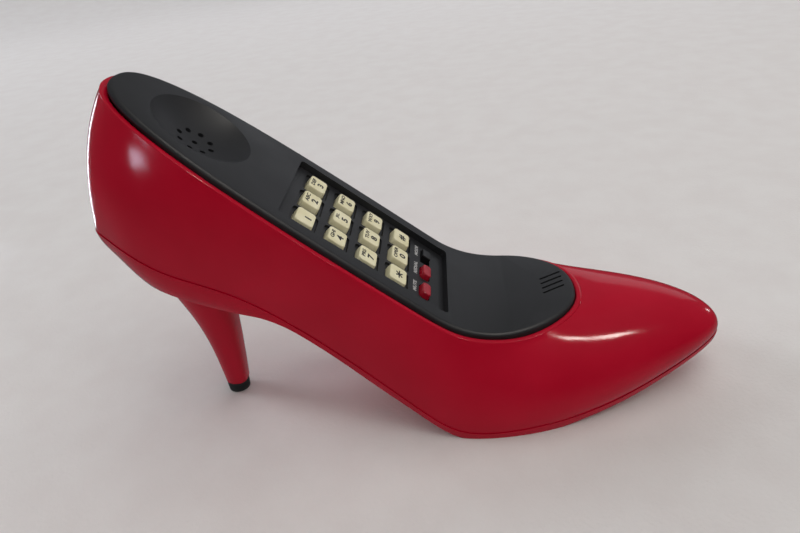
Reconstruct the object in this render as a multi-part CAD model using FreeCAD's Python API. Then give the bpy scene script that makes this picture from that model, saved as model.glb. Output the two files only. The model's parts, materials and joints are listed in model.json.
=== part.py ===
import FreeCAD, Part
import math
import os

from FreeCAD import Vector

# A table telephone in the form of a high-heeled court shoe.
# +X runs from the heel to the toe, +Y across, +Z up; the floor is Z = 0.
# All sizes are in millimetres.

REACH = 400.0
# Half the length of the blocks that cut the shoe, and their lowest and highest levels
SPAN = 124.0
LOW = -60.0
HIGH = 160.0
# How far a cut or a root runs past the face it meets
OVER = 1.0
# The drawing's X = 0 lies this far behind the middle of the overall length
CENTRE_X = 0.75

# Outer shell
WALL = 2.3
RIM_BEAD = 0.9
WELT_LIP = 0.5
SEAM_GAP = 0.05
# The shoe is cut for one foot: its throat and toe lean to the far side
THROAT_LEAN = 3.2
THROAT_LEAN_X = (15.0, 58.0)
TOE_LEAN = 1.4
TOE_LEAN_X = (20.0, 95.0)
FIT_ROUNDS = 40
BAND_STEPS = 48
# Rows of the shell's side: share of the way from the seam to the rim, and how far a swell is lifted
LOW_REACH = 0.33
HIGH_REACH = 0.67
SIDE_LIFT = 0.2
TOE_LIFT = 1.0
# The station where the shell's rings begin, on the far side of the toe
SHELL_START = 12

# Sole
SOLE_WALL = 2.5
SEAT_TUCK = 3.4
TOE_TUCK = 0.9
TUCK_X = (-92.0, -46.0)
SIDE_TOP = 3.0
SIDE_UNDERCUT = 2.0
ROOT = 1.0
# Rows of the sole's side from below: shares of the welt lip, of the tuck and of the depth
SOLE_SIDE = [(0, -1.15, -1.0), (0, -0.25, -0.75), (1, 0, -0.3), (1, 0, 0)]

# Screws and the bosses and pillars that take them
BOSS_HEIGHT = 6.0
BOSS_R = 4.6
BOSS_SMALL_R = 2.0
PILLAR_R = 3.2
PILLARS = [(-56.5, -17.0), (-56.5, 17.0), (31.0, -21.5), (31.0, 21.5)]
SCREW_R = 1.4
SCREW_HEAD_R = 2.7
SCREW_SEAT = 2.0
SCREW_LENGTH = 12.0
PILOT_R = 0.85
SCREW_ROOM = 0.2
HEAD_ROOM = 0.4
PIN_FIT = 0.1
CROSS_SHARE = 0.7
CROSS_WIDTH = 0.6
# Screws: radius, head radius, head height, length
KEYPAD_SCREW = (0.8, 2.0, 1.4, 4.8)
CLAMP_SCREW = (0.8, 2.2, 1.5, 6.0)
BOARD_SCREW = (0.8, 2.3, 1.6, 7.0)
SCREW_HEAD = 1.6
SCREW_SPARE = 1.5
SCREW_SMALL_ROOM = 1.0

# Faceplate: its straight part slopes down to the toe, then curves to a level end
PLATE_SLOPE = 40.7
PLATE_REF_X = -37.4
PLATE_REF_Z = 88.9
PLATE_LEVEL_Z = 40.0
PLATE_BEND_RADIUS = 43.6
PLATE_THICK = 3.6
PLATE_PROUD_HEEL = 4.5
PLATE_PROUD_HEEL_X = (-96.0, -72.0)
PLATE_PROUD_SIDE = 2.9
PLATE_PROUD_THROAT = 1.5
PLATE_EDGE_ROUND = 1.5
PLATE_GAP = 0.25
SKIRT_INSET = 1.4
SKIRT_WALL = 1.8
SKIRT_DEPTH = 7.0
SKIRT_ROOT = 0.3

# Keypad recess, in plate axes: s down the slope from the first key row, n out of the plate
RECESS_S0 = -6.2
RECESS_S1 = 64.5
RECESS_HALF = 23.2
RECESS_DEPTH = 2.7
RECESS_CORNER = 1.6
# How far the recess is cut above the slope, where the plate bends up
RECESS_OPEN = 8.0
POCKET_DEPTH = 0.9
TRAY_WALL = 1.6
TRAY_FLOOR = 2.6

# Keys
KEY_PITCH_S = 13.15
KEY_PITCH_Y = 14.4
KEY_TOP_S = 7.2
KEY_TOP_Y = 9.5
KEY_DRAFT = 0.3
KEY_TOP_N = -1.0
KEY_CORNER = 1.4
KEY_FIT = 0.35
KEY_LIP = 0.9
KEY_LIP_THICK = 0.9
KEY_EDGE = 0.5
POCKET_S = 10.6
POCKET_Y = 12.8
KEY_TRAVEL = 1.5
TRAVEL_ROOM = 0.35
LIP_ROOM = 0.2
FLOOR_N = -RECESS_DEPTH - TRAY_FLOOR
LIP_N = FLOOR_N - LIP_ROOM
MAT_N = LIP_N - KEY_LIP_THICK - KEY_TRAVEL - TRAVEL_ROOM
MAT_THICK = 1.0
BOARD_N = MAT_N - MAT_THICK
SHEET_HALF = 25.0
SHEET_CORNER = 1.5
SHEET_ROOM = 0.3
KEYPAD_BOSSES = [(s, y) for s in (-3.5, 30.0, 60.0) for y in (-23.0, 23.0)]

# Function row below the keys
FUNCTION_S = 55.7
FUNCTION_PITCH = 13.3
BUTTON_S = 3.6
BUTTON_Y = 7.4
BUTTON_TOP_N = -0.6
SLIDER_S = 3.8
SLIDER_Y = 5.4
SLIDER_TRAVEL = 3.4
SLIDER_TOP_N = -1.2
SLIDER_REST_Y = 14.0
SLIDER_ROUND = 0.4
SLIDER_FOOT_S = 6.4
SLIDER_FOOT_Y = 8.0
SWITCH_S = 7.2
SWITCH_Y = 11.0
SWITCH_ROOM = 0.4

# Earpiece dish
EAR_S = -42.0
EAR_RADIUS = 18.5
EAR_DEPTH = 6.5
EAR_HOLE = 1.05
EAR_RING = 6.2
EAR_HOLES = 8
EAR_CHAMBER_R = 8.7
EAR_CHAMBER = 1.5
EAR_SEAT_R = 16.5
EAR_SEAT_N = -10.5
GASKET_THICK = 1.5
RECEIVER_R = 15.0
RECEIVER_DEEP = 9.0
RECEIVER_ROUND = 1.0
MAGNET_R = 6.0
MAGNET_DEEP = 3.0
GASKET_R = 12.5
GASKET_BORE = 9.5
CLAMP_Y = 18.2
CLAMP_N = EAR_SEAT_N - GASKET_THICK - RECEIVER_DEEP - LIP_ROOM
CLAMP_HALF = 3.0
CLAMP_THICK = 1.6
CLAMP_CORNER = 2.0
CLAMP_RING_R = 9.5
CLAMP_BORE = 6.6
CLAMP_BOSS_R = 2.6
CLAMP_PILOT = 7.0

# Mouthpiece slots
SLOT_COUNT = 4
SLOT_LENGTH = 10.2
SLOT_WIDTH = 0.9
SLOT_CORNER = 0.4
SLOT_PITCH = 3.4
SLOT_X = 53.0
SLOT_Y = 4.8
SLOT_TURN = 30.0
MIC_X = 51.8
MIC_Y = 4.0
MIC_R = 4.85
MIC_CUP_R = 7.2
MIC_CUP_BORE = 5.8
MIC_CUP_DEPTH = 10.0
MIC_LIP = 1.2
MIC_PORT_R = 3.2
MIC_LENGTH = 5.4
CAN_ROUND = 0.6

# Heel
HEEL_TIP_X = -83.0
HEEL_TIP_FOOT_R = 4.5
HEEL_TIP_TOP_R = 4.8
HEEL_TIP_ROUND = 0.5
HEEL_TIP_HEIGHT = 5.0
DOWEL_R = 1.5
DOWEL_LENGTH = 9.0
HEEL_SCREW_X = -85.0
HEEL_SCREW_R = 2.0
HEEL_SCREW_HEAD = 3.6
HEEL_SCREW_LENGTH = 26.0
HEEL_SCREW_CAP = 3.0
HEEL_BOSS_R = 5.6
DRIVER_SLOT = 1.0
DRIVER_DEPTH = 1.2
# Levels of the heel column: height, back x, breast x, half-width
HEEL_LEVELS = [
    (HEEL_TIP_HEIGHT, -87.9, -78.1, 4.75),
    (20.0, -88.9, -76.7, 5.9),
    (36.0, -91.4, -75.9, 7.8),
    (50.0, -96.6, -75.2, 10.6),
    (62.0, -101.0, -73.8, 13.2),
    (76.0, -104.5, -72.0, 17.0),
]

# Section of the heel column: share of its depth from the back, share of its half-width
HEEL_SECTION = [(0.0, 0.0), (0.03, 0.45), (0.22, 0.88), (0.52, 1.08), (0.82, 0.98), (0.99, 0.62), (1.0, 0.0)]

# Hook plunger under the ball of the shoe
HOOK_X = 22.0
HOOK_R = 4.0
HOOK_TRAVEL = 3.0
HOOK_FIT = 0.25
HOOK_GUIDE_R = 6.0
HOOK_CLEAR = 0.5
HOOK_LIFT = 0.15
HOOK_ROUND = 0.8
HOOK_SWITCH_X = 14.0
HOOK_SWITCH_Y = 12.0
HOOK_SWITCH_Z = 13.0
HOOK_PORT_R = 1.8
HOOK_PORT = 2.0
HOOK_LIP_R = 6.2
HOOK_LIP_Z = SOLE_WALL + HOOK_TRAVEL + 0.4
HOOK_LIP_THICK = 1.4
HOOK_PIN_R = 1.5
SPRING_R = 4.2
SPRING_BORE = 3.2

# Main board, level inside the fore part
BOARD_Z = 18.2
BOARD_THICK = 1.6
BOARD_X0 = 6.0
BOARD_X1 = 58.0
BOARD_HALF = 15.0
POSTS = [(10.0, -11.5), (10.0, 11.5), (54.5, -11.5), (54.5, 11.5)]
POST_R = 2.6
POST_SCREW = 9.0
BOARD_TOP = BOARD_Z + BOARD_THICK
BOARD_CORNER = 2.0
CHIP_PITCH = 2.54
CHIP_HALF = 3.2
CHIP_LIFT = 0.8
CHIP_HEIGHT = 4.2
LEG_WIDTH = 0.6
LEG_OUT = 0.8
LEG_HEIGHT = 2.4
# Chips on the board: x, y, length
DIALLER = (21.0, 4.8, 20.0)
SPEECH = (23.0, -8.0, 16.0)
# Line transformer: middle x and y, then length, width and height of its core and of its coil
TRANSFORMER_X = 46.0
TRANSFORMER_Y = -1.0
CORE = (11.0, 14.0, 9.5)
COIL = (15.6, 9.0, 7.1)
COIL_LIFT = 1.2
COIL_CORNER = 2.0
# Capacitor cans: x, y, radius, height
CANS = [(35.5, 10.0, 3.2, 10.0), (43.0, 11.0, 2.5, 8.0), (34.8, -11.0, 2.5, 8.0)]

# Ringer disc in the toe, over sound holes in the sole
RINGER_X = 74.0
RINGER_R = 12.0
RINGER_Z = 8.8
RINGER_THICK = 4.0
RINGER_PORT_R = 2.0
RINGER_PORT = 1.5
RINGER_SEAT_R = 11.5
RINGER_SEAT_BORE = 10.0
SOUND_HOLES = 6
SOUND_RING = 5.5
SOUND_HOLE_R = 1.2

# Line jack in the back of the heel
JACK_Z = 91.5
JACK_WIDTH = 12.0
JACK_HEIGHT = 11.6
JACK_DEPTH = 16.0
JACK_X = -114.6
JACK_ROOM = 0.2
PLUG_DEPTH = 12.5
PLUG_HALF = 4.9
PLUG_UP = 3.4
PLUG_DOWN = 3.6
LATCH_DEPTH = 9.5
LATCH_HALF = 3.1
LATCH_DOWN = 4.9
JACK_INSIDE = 6.0
CONTACTS = 4
CONTACT_PITCH = 1.02
CONTACT_WIDTH = 0.45
CONTACT_START = 2.5
BRACKET_START = 8.5
BRACKET_BORE = 7.6
BRACKET_TOP = 1.6

# Plan outline of the plate and the shell: one row of points from heel to toe, mirrored in Y.
# Each station: rim x, rim half-width, seam x, seam half-width, low swell, high swell, low reach
STATIONS = [
    (-95.6, 0.0, -120.0, 0.0, 4.0, 6.0, 0.33),
    (-95.0, 7.6, -118.3, 6.0, 4.0, 6.0, 0.33),
    (-90.7, 15.3, -110.8, 11.4, 3.6, 5.4, 0.33),
    (-81.0, 21.6, -101.5, 19.6, 2.8, 4.4, 0.33),
    (-68.0, 25.9, -86.5, 25.8, 1.5, 2.5, 0.33),
    (-50.0, 28.4, -62.0, 27.8, 1.5, 2.0, 0.33),
    (-25.0, 29.8, -36.0, 27.0, 1.0, 1.5, 0.33),
    (0.0, 29.9, -8.0, 33.2, 1.5, 1.5, 0.33),
    (10.0, 30.1, 4.0, 36.2, 2.2, 1.5, 0.33),
    (20.0, 30.3, 16.0, 39.3, 3.0, 1.5, 0.33),
    (36.0, 29.4, 42.0, 38.6, 5.5, 2.5, 0.33),
    (48.0, 24.6, 68.0, 30.8, 9.5, 5.0, 0.28),
    (56.5, 17.0, 93.0, 19.8, 13.0, 8.2, 0.16),
    (60.7, 8.8, 112.0, 9.4, 15.5, 9.7, 0.06),
    (61.5, 0.0, 121.0, 0.0, 15.5, 9.7, 0.05),
]

# Side profile of the seam between shell and sole: x, z
SEAM_PROFILE = [
    (-125.0, 84.0), (-113.0, 81.8), (-100.6, 78.4), (-87.8, 73.2), (-75.2, 67.5), (-61.7, 62.0),
    (-51.5, 55.2), (-41.0, 46.2), (-30.2, 36.5), (-19.3, 27.0), (-9.0, 18.8), (-4.0, 14.8),
    (1.0, 10.6), (6.0, 7.0), (11.4, 4.4), (17.0, 3.0), (25.0, 2.7), (37.0, 3.1), (48.0, 3.7),
    (60.0, 4.5), (71.0, 5.7), (83.0, 7.7), (95.0, 10.7), (112.0, 15.0), (125.0, 18.0),
]

# Depth of the sole below the seam: a deep cup at the seat, thin under the toes: x, depth
SOLE_DEPTHS = [
    (-125.0, 5.5), (-112.0, 8.6), (-105.0, 12.2), (-98.0, 13.0), (-90.0, 11.8), (-78.0, 10.2),
    (-64.0, 8.6), (-55.0, 5.4), (-46.0, 3.4), (-30.0, 3.1), (-14.0, 3.7), (6.0, 3.3), (14.0, 3.7),
    (20.0, 3.4), (37.0, 3.4), (50.0, 3.9), (60.0, 3.0), (74.0, 2.7), (95.0, 2.4), (125.0, 2.2),
]

PARTS = "parts"


def hermite(stations, x):
    """Height of a smooth profile through stations (x, z) at x."""
    last = len(stations) - 2
    i = 0
    while i < last and x > stations[i + 1][0]:
        i += 1

    def slope(k):
        a = stations[max(k - 1, 0)]
        b = stations[min(k + 1, len(stations) - 1)]
        return (b[1] - a[1]) / (b[0] - a[0])

    (x0, z0), (x1, z1) = stations[i], stations[i + 1]
    h = x1 - x0
    t = (x - x0) / h
    a = z0 * (1 + 2 * t) * (1 - t) ** 2 + z1 * t * t * (3 - 2 * t)
    return a + h * t * (1 - t) * (slope(i) * (1 - t) - slope(i + 1) * t)


def smooth_share(x, start, end):
    """Share from 0 at start to 1 at end, with level ends."""
    share = min(max((x - start) / (end - start), 0.0), 1.0)
    return share * share * (3 - 2 * share)


def seam_z(x):
    return hermite(SEAM_PROFILE, x)


def sole_thickness(x):
    return hermite(SOLE_DEPTHS, x)


def sole_tuck(x):
    """How far the sole's side draws in under the shoe."""
    return SEAT_TUCK + (TOE_TUCK - SEAT_TUCK) * smooth_share(x, *TUCK_X)


def sole_z(x):
    """Height of the sole's lower face, which is flat on the floor under the ball."""
    return max(seam_z(x) - sole_thickness(x), 0.0)


SLOPE = math.radians(PLATE_SLOPE)
REF = Vector(PLATE_REF_X, 0, PLATE_REF_Z)
CORNER_X = PLATE_REF_X + (PLATE_REF_Z - PLATE_LEVEL_Z) / math.tan(SLOPE)
TANGENT = PLATE_BEND_RADIUS * math.tan(SLOPE / 2)
BEND_X0 = CORNER_X - TANGENT * math.cos(SLOPE)
BEND_X1 = CORNER_X + TANGENT


def plate_z(x):
    """Height of the plate's top face at x."""
    if x <= BEND_X0:
        return PLATE_REF_Z - (x - PLATE_REF_X) * math.tan(SLOPE)
    if x >= BEND_X1:
        return PLATE_LEVEL_Z
    rise = math.sqrt(PLATE_BEND_RADIUS ** 2 - (BEND_X1 - x) ** 2)
    return PLATE_LEVEL_Z + PLATE_BEND_RADIUS - rise


def plate_proud(x):
    """How far the plate's face stands above the shell's rim: most at the heel, least at the throat."""
    heel = PLATE_PROUD_HEEL + (PLATE_PROUD_SIDE - PLATE_PROUD_HEEL) * smooth_share(x, *PLATE_PROUD_HEEL_X)
    share = min(max((x - BEND_X1) / (STATIONS[-1][0] - BEND_X1), 0.0), 1.0)
    return heel + (PLATE_PROUD_THROAT - PLATE_PROUD_SIDE) * share


def plate_frame(shape):
    """Turn a shape drawn in plate axes (s, y, n as x, y, z) into place on the slope."""
    placed = shape.copy()
    placed.rotate(Vector(0, 0, 0), Vector(0, 1, 0), PLATE_SLOPE)
    placed.translate(REF)
    return placed


def box(x0, x1, y0, y1, z0, z1):
    return Part.makeBox(x1 - x0, y1 - y0, z1 - z0, Vector(x0, y0, z0))


def rod(radius, x, y, z0, z1):
    return Part.makeCylinder(radius, z1 - z0, Vector(x, y, z0))


def rounded_box(x0, x1, y0, y1, z0, z1, radius):
    """Box with its four upright edges rounded."""
    block = box(x0, x1, y0, y1, z0, z1)
    upright = [e for e in block.Edges if abs(e.tangentAt(e.FirstParameter).z) > 0.9]
    return block.makeFillet(radius, upright)


def mirrored(half):
    """Full ring of points from one side's points, which start and end at Y = 0."""
    return half + [Vector(p.x, -p.y, p.z) for p in reversed(half[1:-1])]


def leaned(ring, rim_share):
    """Move a ring's fore end to the far side, by the throat's share or the toe's."""
    moved = []
    for point, station in zip(ring, STATIONS + STATIONS[-2:0:-1]):
        throat = THROAT_LEAN * smooth_share(station[0], *THROAT_LEAN_X)
        toe = TOE_LEAN * smooth_share(station[2], *TOE_LEAN_X)
        moved.append(point + Vector(0, toe + (throat - toe) * rim_share, 0))
    return moved


def along_seam(ring):
    """Raise or lower a ring's points until its smooth curve lies on the seam's profile."""
    n = len(ring)
    for _ in range(FIT_ROUNDS):
        smooth = [(ring[i - 1] + ring[i] * 4 + ring[(i + 1) % n]) * (1 / 6) for i in range(n)]
        ring = [p + Vector(0, 0, seam_z(q.x) - q.z) for p, q in zip(ring, smooth)]
    return ring


def ring_curve(ring):
    n = len(ring)
    curve = Part.BSplineCurve()
    curve.buildFromPolesMultsKnots(ring, [1] * (n + 1), list(range(n + 1)), True, 3)
    return curve


def ring_face(rows, degree):
    """Smooth band whose rows are closed rings of control points."""
    n, m = len(rows[0]), len(rows)
    poles = [[row[i] for row in rows] for i in range(n)]
    v_mults = [degree + 1] + [1] * (m - degree - 1) + [degree + 1]
    surface = Part.BSplineSurface()
    surface.buildFromPolesMultsKnots(
        poles, [1] * (n + 1), v_mults, list(range(n + 1)), list(range(len(v_mults))),
        True, False, 3, degree)
    return surface.toShape()


def solid_of(faces):
    shell = Part.makeShell(faces)
    if not shell.isClosed():
        shell.sewShape()
    solid = Part.Solid(shell)
    if solid.Volume < 0:
        solid.reverse()
    return solid


def tower(rows, low, high):
    """Solid whose side runs smoothly through rows, with upright skirts to flat ends."""
    floor_row = [Vector(p.x, p.y, low) for p in rows[0]]
    roof_row = [Vector(p.x, p.y, high) for p in rows[-1]]
    caps = [Part.Face(Part.Wire(ring_curve(row).toShape())) for row in (floor_row, roof_row)]
    side = ring_face(rows, 3)
    skirts = [ring_face([floor_row, rows[0]], 1), ring_face([rows[-1], roof_row], 1)]
    return solid_of([side] + skirts + caps)


def band(top, bottom):
    """Wide block between two height profiles, along the shoe and across it in Y."""
    xs = [-SPAN + 2 * SPAN * i / BAND_STEPS for i in range(BAND_STEPS + 1)]

    def edge(profile):
        curve = Part.BSplineCurve()
        curve.interpolate([Vector(x, -REACH / 4, profile(x)) for x in xs])
        return curve.toShape()

    upper, lower = edge(top), edge(bottom)
    ends = [Part.makeLine(upper.Vertexes[i].Point, lower.Vertexes[i].Point) for i in (0, 1)]
    wire = Part.Wire([upper, ends[1], lower, ends[0]])
    return Part.Face(wire).extrude(Vector(0, REACH / 2, 0))


def save(name, shape):
    shape.translate(Vector(CENTRE_X, 0, 0))
    shape.exportStep(os.path.join(PARTS, name + ".step"))
    print(name, "solids", len(shape.Solids), "valid", shape.isValid(), "mm3", round(shape.Volume, 1))


# Outer shell of the shoe

def outward(half, i):
    """Level unit vector pointing out of a plan outline at point i."""
    before = half[i - 1] if i > 0 else Vector(half[1].x, -half[1].y, 0)
    after = half[i + 1] if i < len(half) - 1 else Vector(half[-2].x, -half[-2].y, 0)
    along = Vector(after.x - before.x, after.y - before.y, 0)
    return Vector(-along.y, along.x, 0).normalize()


def seam_ring(offset):
    """Ring of control points along the seam, one for each of the half outlines' offsets."""
    half = [Vector(s[2], s[3], 0) for s in STATIONS]
    return along_seam(mirrored([p + outward(half, i) * offset[i] for i, p in enumerate(half)]))


def shell_rows(inset):
    """Four rows of control points from the seam up to the rim, moved in by inset."""
    seam_half = [Vector(s[2], s[3], 0) for s in STATIONS]
    rim_half = [Vector(s[0], s[1], 0) for s in STATIONS]
    seam_points = seam_ring([-inset] * len(STATIONS))
    rows = [[], [], [], []]
    for i, (rx, rw, _, _, low, high, reach) in enumerate(STATIONS):
        seam = seam_points[i]
        rim = Vector(rx, rw, 0) + outward(rim_half, i) * (PLATE_GAP + WALL - inset)
        rim.z = plate_z(rim.x) - plate_proud(rim.x) - RIM_BEAD / 2
        chord = rim - seam
        seam_out = outward(seam_half, i)
        lift = Vector(0, 0, 1) - chord * (chord.z / chord.dot(chord))
        side = seam_out - chord * (seam_out.dot(chord) / chord.dot(chord))
        swell_dir = (side + lift * (TOE_LIFT if reach < LOW_REACH else SIDE_LIFT)).normalize()
        rows[0].append(seam)
        rows[1].append(seam + chord * reach + swell_dir * (low - inset))
        rows[2].append(seam + chord * HIGH_REACH + swell_dir * (high - inset))
        rows[3].append(rim)
    shares = (0.0, LOW_REACH, HIGH_REACH, 1.0)
    return [leaned(mirrored(row), share) for row, share in zip(rows, shares)]


def upper_shell():
    outer, inner = [[row[SHELL_START:] + row[:SHELL_START] for row in shell_rows(inset)]
                    for inset in (0.0, WALL)]
    bead = Vector(0, 0, RIM_BEAD)
    rim = [outer[3], [p + bead for p in outer[3]], [p + bead for p in inner[3]], inner[3]]
    faces = [
        ring_face(outer, 3),
        ring_face(rim, 3),
        ring_face(inner, 3),
        ring_face([outer[0], inner[0]], 1),
    ]
    return solid_of(faces)


# Sole and heel

def sole_tower(inset, floor):
    """Side of the sole: a welt lip, then a side that tucks in under the shoe."""
    depths = [sole_thickness(s[2]) - floor + SIDE_UNDERCUT for s in STATIONS]
    tucks = [sole_tuck(s[2]) for s in STATIONS]
    rows = []
    for lip, tuck, level in SOLE_SIDE:
        ring = seam_ring([lip * WELT_LIP + tuck * t - inset for t in tucks])
        rises = [level * d if level else SIDE_TOP for d in depths]
        ring = [p + Vector(0, 0, r) for p, r in zip(ring, rises + rises[-2:0:-1])]
        rows.append(leaned(ring, 0.0))
    return rows


def seam_cut():
    """Height of the sole's top edge at x: just under the lower edge of the shell."""
    edges = []
    for row in (shell_rows(0.0)[0], shell_rows(WALL)[0]):
        points = [p for p in ring_curve(row).discretize(600) if p.y >= 0]
        edges.append(sorted((p.x, p.z) for p in points))

    def height(edge, x):
        if x <= edge[0][0]:
            return edge[0][1]
        for (x0, z0), (x1, z1) in zip(edge, edge[1:]):
            if x <= x1:
                return z0 + (z1 - z0) * (x - x0) / max(x1 - x0, 1e-9)
        return edge[-1][1]

    return lambda x: min(height(edge, x) for edge in edges) - SEAM_GAP


def under_sole():
    """Everything below the sole's lower face."""
    return band(lambda x: sole_z(x) - SEAM_GAP, lambda x: LOW)


def above_floor():
    """Everything above the sole's inner floor."""
    return band(lambda x: HIGH, lambda x: sole_z(x) + SOLE_WALL + SEAM_GAP)


def boss_top(x):
    return sole_z(x) + BOSS_HEIGHT


def sole_shell():
    outer = tower(sole_tower(0.0, 0.0), LOW, HIGH)
    top = seam_cut()
    outer = outer.common(band(top, lambda x: seam_z(x) - sole_thickness(x)))
    outer = outer.common(box(-REACH, REACH, -REACH, REACH, 0.0, REACH))
    inner = tower(sole_tower(SOLE_WALL + WELT_LIP, SOLE_WALL), LOW, HIGH)
    roof = band(lambda x: seam_z(x) + SIDE_TOP, lambda x: sole_z(x) + SOLE_WALL)
    sole = outer.cut(inner.common(roof))
    screw_bosses = [rod(BOSS_R, x, y, sole_z(x) - BOSS_HEIGHT, boss_top(x)) for x, y in PILLARS]
    heel_boss = rod(HEEL_BOSS_R, HEEL_SCREW_X, 0, sole_z(HEEL_SCREW_X) - BOSS_HEIGHT,
                    boss_top(HEEL_SCREW_X))
    rooted = band(lambda x: HIGH, lambda x: sole_z(x) + ROOT)
    sole = sole.fuse([b.common(rooted) for b in screw_bosses + [heel_boss]])
    posts = [rod(POST_R, x, y, 0.0, BOARD_Z) for x, y in POSTS]
    seat = rod(RINGER_SEAT_R, RINGER_X, 0, 0.0, RINGER_Z)
    seat = seat.cut(rod(RINGER_SEAT_BORE, RINGER_X, 0, 0, RINGER_Z + OVER))
    guide = rod(HOOK_GUIDE_R, HOOK_X, 0, 0.0, sole_z(HOOK_X) + SOLE_WALL)
    sole = sole.fuse([p.common(rooted) for p in posts + [seat, guide]])
    cuts = [rod(PILOT_R, x, y, BOARD_Z - POST_SCREW, BOARD_Z + OVER) for x, y in POSTS]
    for x, y in PILLARS:
        cuts.append(rod(SCREW_HEAD_R + HEAD_ROOM, x, y, -OVER, sole_z(x) + SCREW_SEAT))
        cuts.append(rod(SCREW_R + SCREW_ROOM, x, y, -OVER, boss_top(x) + OVER))
    cuts.append(rod(HEEL_SCREW_R + PIN_FIT, HEEL_SCREW_X, 0, 0, boss_top(HEEL_SCREW_X) + OVER))
    cuts.append(rod(HOOK_R + HOOK_FIT, HOOK_X, 0, -OVER, sole_z(HOOK_X) + SOLE_WALL + OVER))
    for k in range(SOUND_HOLES):
        turn = 2 * math.pi * k / SOUND_HOLES
        x = RINGER_X + SOUND_RING * math.cos(turn)
        y = SOUND_RING * math.sin(turn)
        cuts.append(rod(SOUND_HOLE_R, x, y, -OVER, RINGER_Z - OVER))
    return sole.cut(cuts)


def heel_ring(level):
    """Ring of the heel column: round behind, flatter on the breast that faces the toe."""
    z, back, front, half = level
    depth = front - back
    return mirrored([Vector(back + depth * a, half * b, z) for a, b in HEEL_SECTION])


def heel_column():
    column = tower([heel_ring(level) for level in HEEL_LEVELS], HEEL_TIP_HEIGHT + SEAM_GAP, HIGH)
    column = column.common(under_sole())
    top = sole_z(HEEL_SCREW_X)
    return column.cut([
        rod(HEEL_SCREW_R + PIN_FIT, HEEL_SCREW_X, 0, top - HEEL_SCREW_LENGTH - OVER, top + OVER),
        rod(DOWEL_R + SEAM_GAP, HEEL_TIP_X, 0, 0, HEEL_TIP_HEIGHT + DOWEL_LENGTH + OVER),
    ])


def heel_tip():
    foot = Part.makeCone(HEEL_TIP_FOOT_R, HEEL_TIP_TOP_R, HEEL_TIP_HEIGHT, Vector(HEEL_TIP_X, 0, 0))
    foot = foot.makeFillet(HEEL_TIP_ROUND, [e for e in foot.Edges if e.BoundBox.ZMax < HEEL_TIP_ROUND])
    return foot.fuse(rod(DOWEL_R, HEEL_TIP_X, 0, HEEL_TIP_HEIGHT - OVER, HEEL_TIP_HEIGHT + DOWEL_LENGTH))


def heel_screw():
    z = boss_top(HEEL_SCREW_X)
    top = z + HEEL_SCREW_CAP
    head = rod(HEEL_SCREW_HEAD, HEEL_SCREW_X, 0, z + SEAM_GAP, top)
    slot = box(HEEL_SCREW_X - BOSS_R, HEEL_SCREW_X + BOSS_R, -DRIVER_SLOT / 2, DRIVER_SLOT / 2,
               top - DRIVER_DEPTH, top + OVER)
    low = sole_z(HEEL_SCREW_X) - HEEL_SCREW_LENGTH
    return head.cut(slot).fuse(rod(HEEL_SCREW_R, HEEL_SCREW_X, 0, low, z + OVER))


# Faceplate

def plate_prism(offset):
    """Upright prism on the plate's plan outline."""
    half = [Vector(s[0], s[1], 0) for s in STATIONS]
    ring = leaned(mirrored([p + outward(half, i) * offset for i, p in enumerate(half)]), 1.0)
    return Part.Face(Part.Wire(ring_curve(ring).toShape())).extrude(Vector(0, 0, REACH))


def plate_slab(top, bottom):
    """Bent sheet under the plate's face, between two depths measured straight down."""
    middle = BEND_X1 - PLATE_BEND_RADIUS * math.sin(SLOPE / 2)

    def point(x, depth):
        return Vector(x, -REACH / 4, plate_z(x) - depth)

    def edges(depth):
        a, b, c, d = [point(x, depth) for x in (-SPAN, BEND_X0, BEND_X1, SPAN)]
        bend = Part.Arc(b, point(middle, depth), c).toShape()
        return [Part.makeLine(a, b), bend, Part.makeLine(c, d)]

    ends = [Part.makeLine(point(x, top), point(x, bottom)) for x in (-SPAN, SPAN)]
    wire = Part.Wire(Part.__sortEdges__(edges(top) + edges(bottom) + ends))
    return Part.Face(wire).extrude(Vector(0, REACH / 2, 0))


def key_centres():
    """Name and place of every key: rows run down the slope, columns across."""
    names = ["1", "2", "3", "4", "5", "6", "7", "8", "9", "star", "0", "hash"]
    for k, name in enumerate(names):
        row, column = divmod(k, 3)
        yield "key_" + name, KEY_TOP_S / 2 + row * KEY_PITCH_S, (column - 1) * KEY_PITCH_Y


def key_foot(top_s, top_y):
    return top_s + 2 * KEY_DRAFT, top_y + 2 * KEY_DRAFT


def rounded_ring(size_s, size_y, radius, s, y, n):
    block = rounded_box(s - size_s / 2, s + size_s / 2, y - size_y / 2, y + size_y / 2, n, n + 1, radius)
    face = [f for f in block.Faces if abs(f.CenterOfMass.z - n) < 1e-6][0]
    return face.OuterWire


def cap(top_s, top_y, s, y, top_n):
    """Key cap with drafted sides, a stem through the floor and a lip that stops it below."""
    foot_s, foot_y = key_foot(top_s, top_y)
    floor_n = -RECESS_DEPTH - POCKET_DEPTH
    rings = [rounded_ring(foot_s, foot_y, KEY_CORNER, s, y, floor_n),
             rounded_ring(top_s, top_y, KEY_CORNER, s, y, top_n)]
    head = Part.makeLoft(rings, True, True)
    head = head.makeFillet(KEY_EDGE, [e for e in head.Edges if e.BoundBox.ZMin > top_n - 0.01])
    stem = rounded_box(s - foot_s / 2, s + foot_s / 2, y - foot_y / 2, y + foot_y / 2, LIP_N, floor_n,
                       KEY_CORNER)
    lip = box(s - foot_s / 2 - KEY_LIP, s + foot_s / 2 + KEY_LIP, y - foot_y / 2 - KEY_LIP,
              y + foot_y / 2 + KEY_LIP, LIP_N - KEY_LIP_THICK, LIP_N)
    return plate_frame(head.fuse([stem, lip]).removeSplitter())


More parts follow.
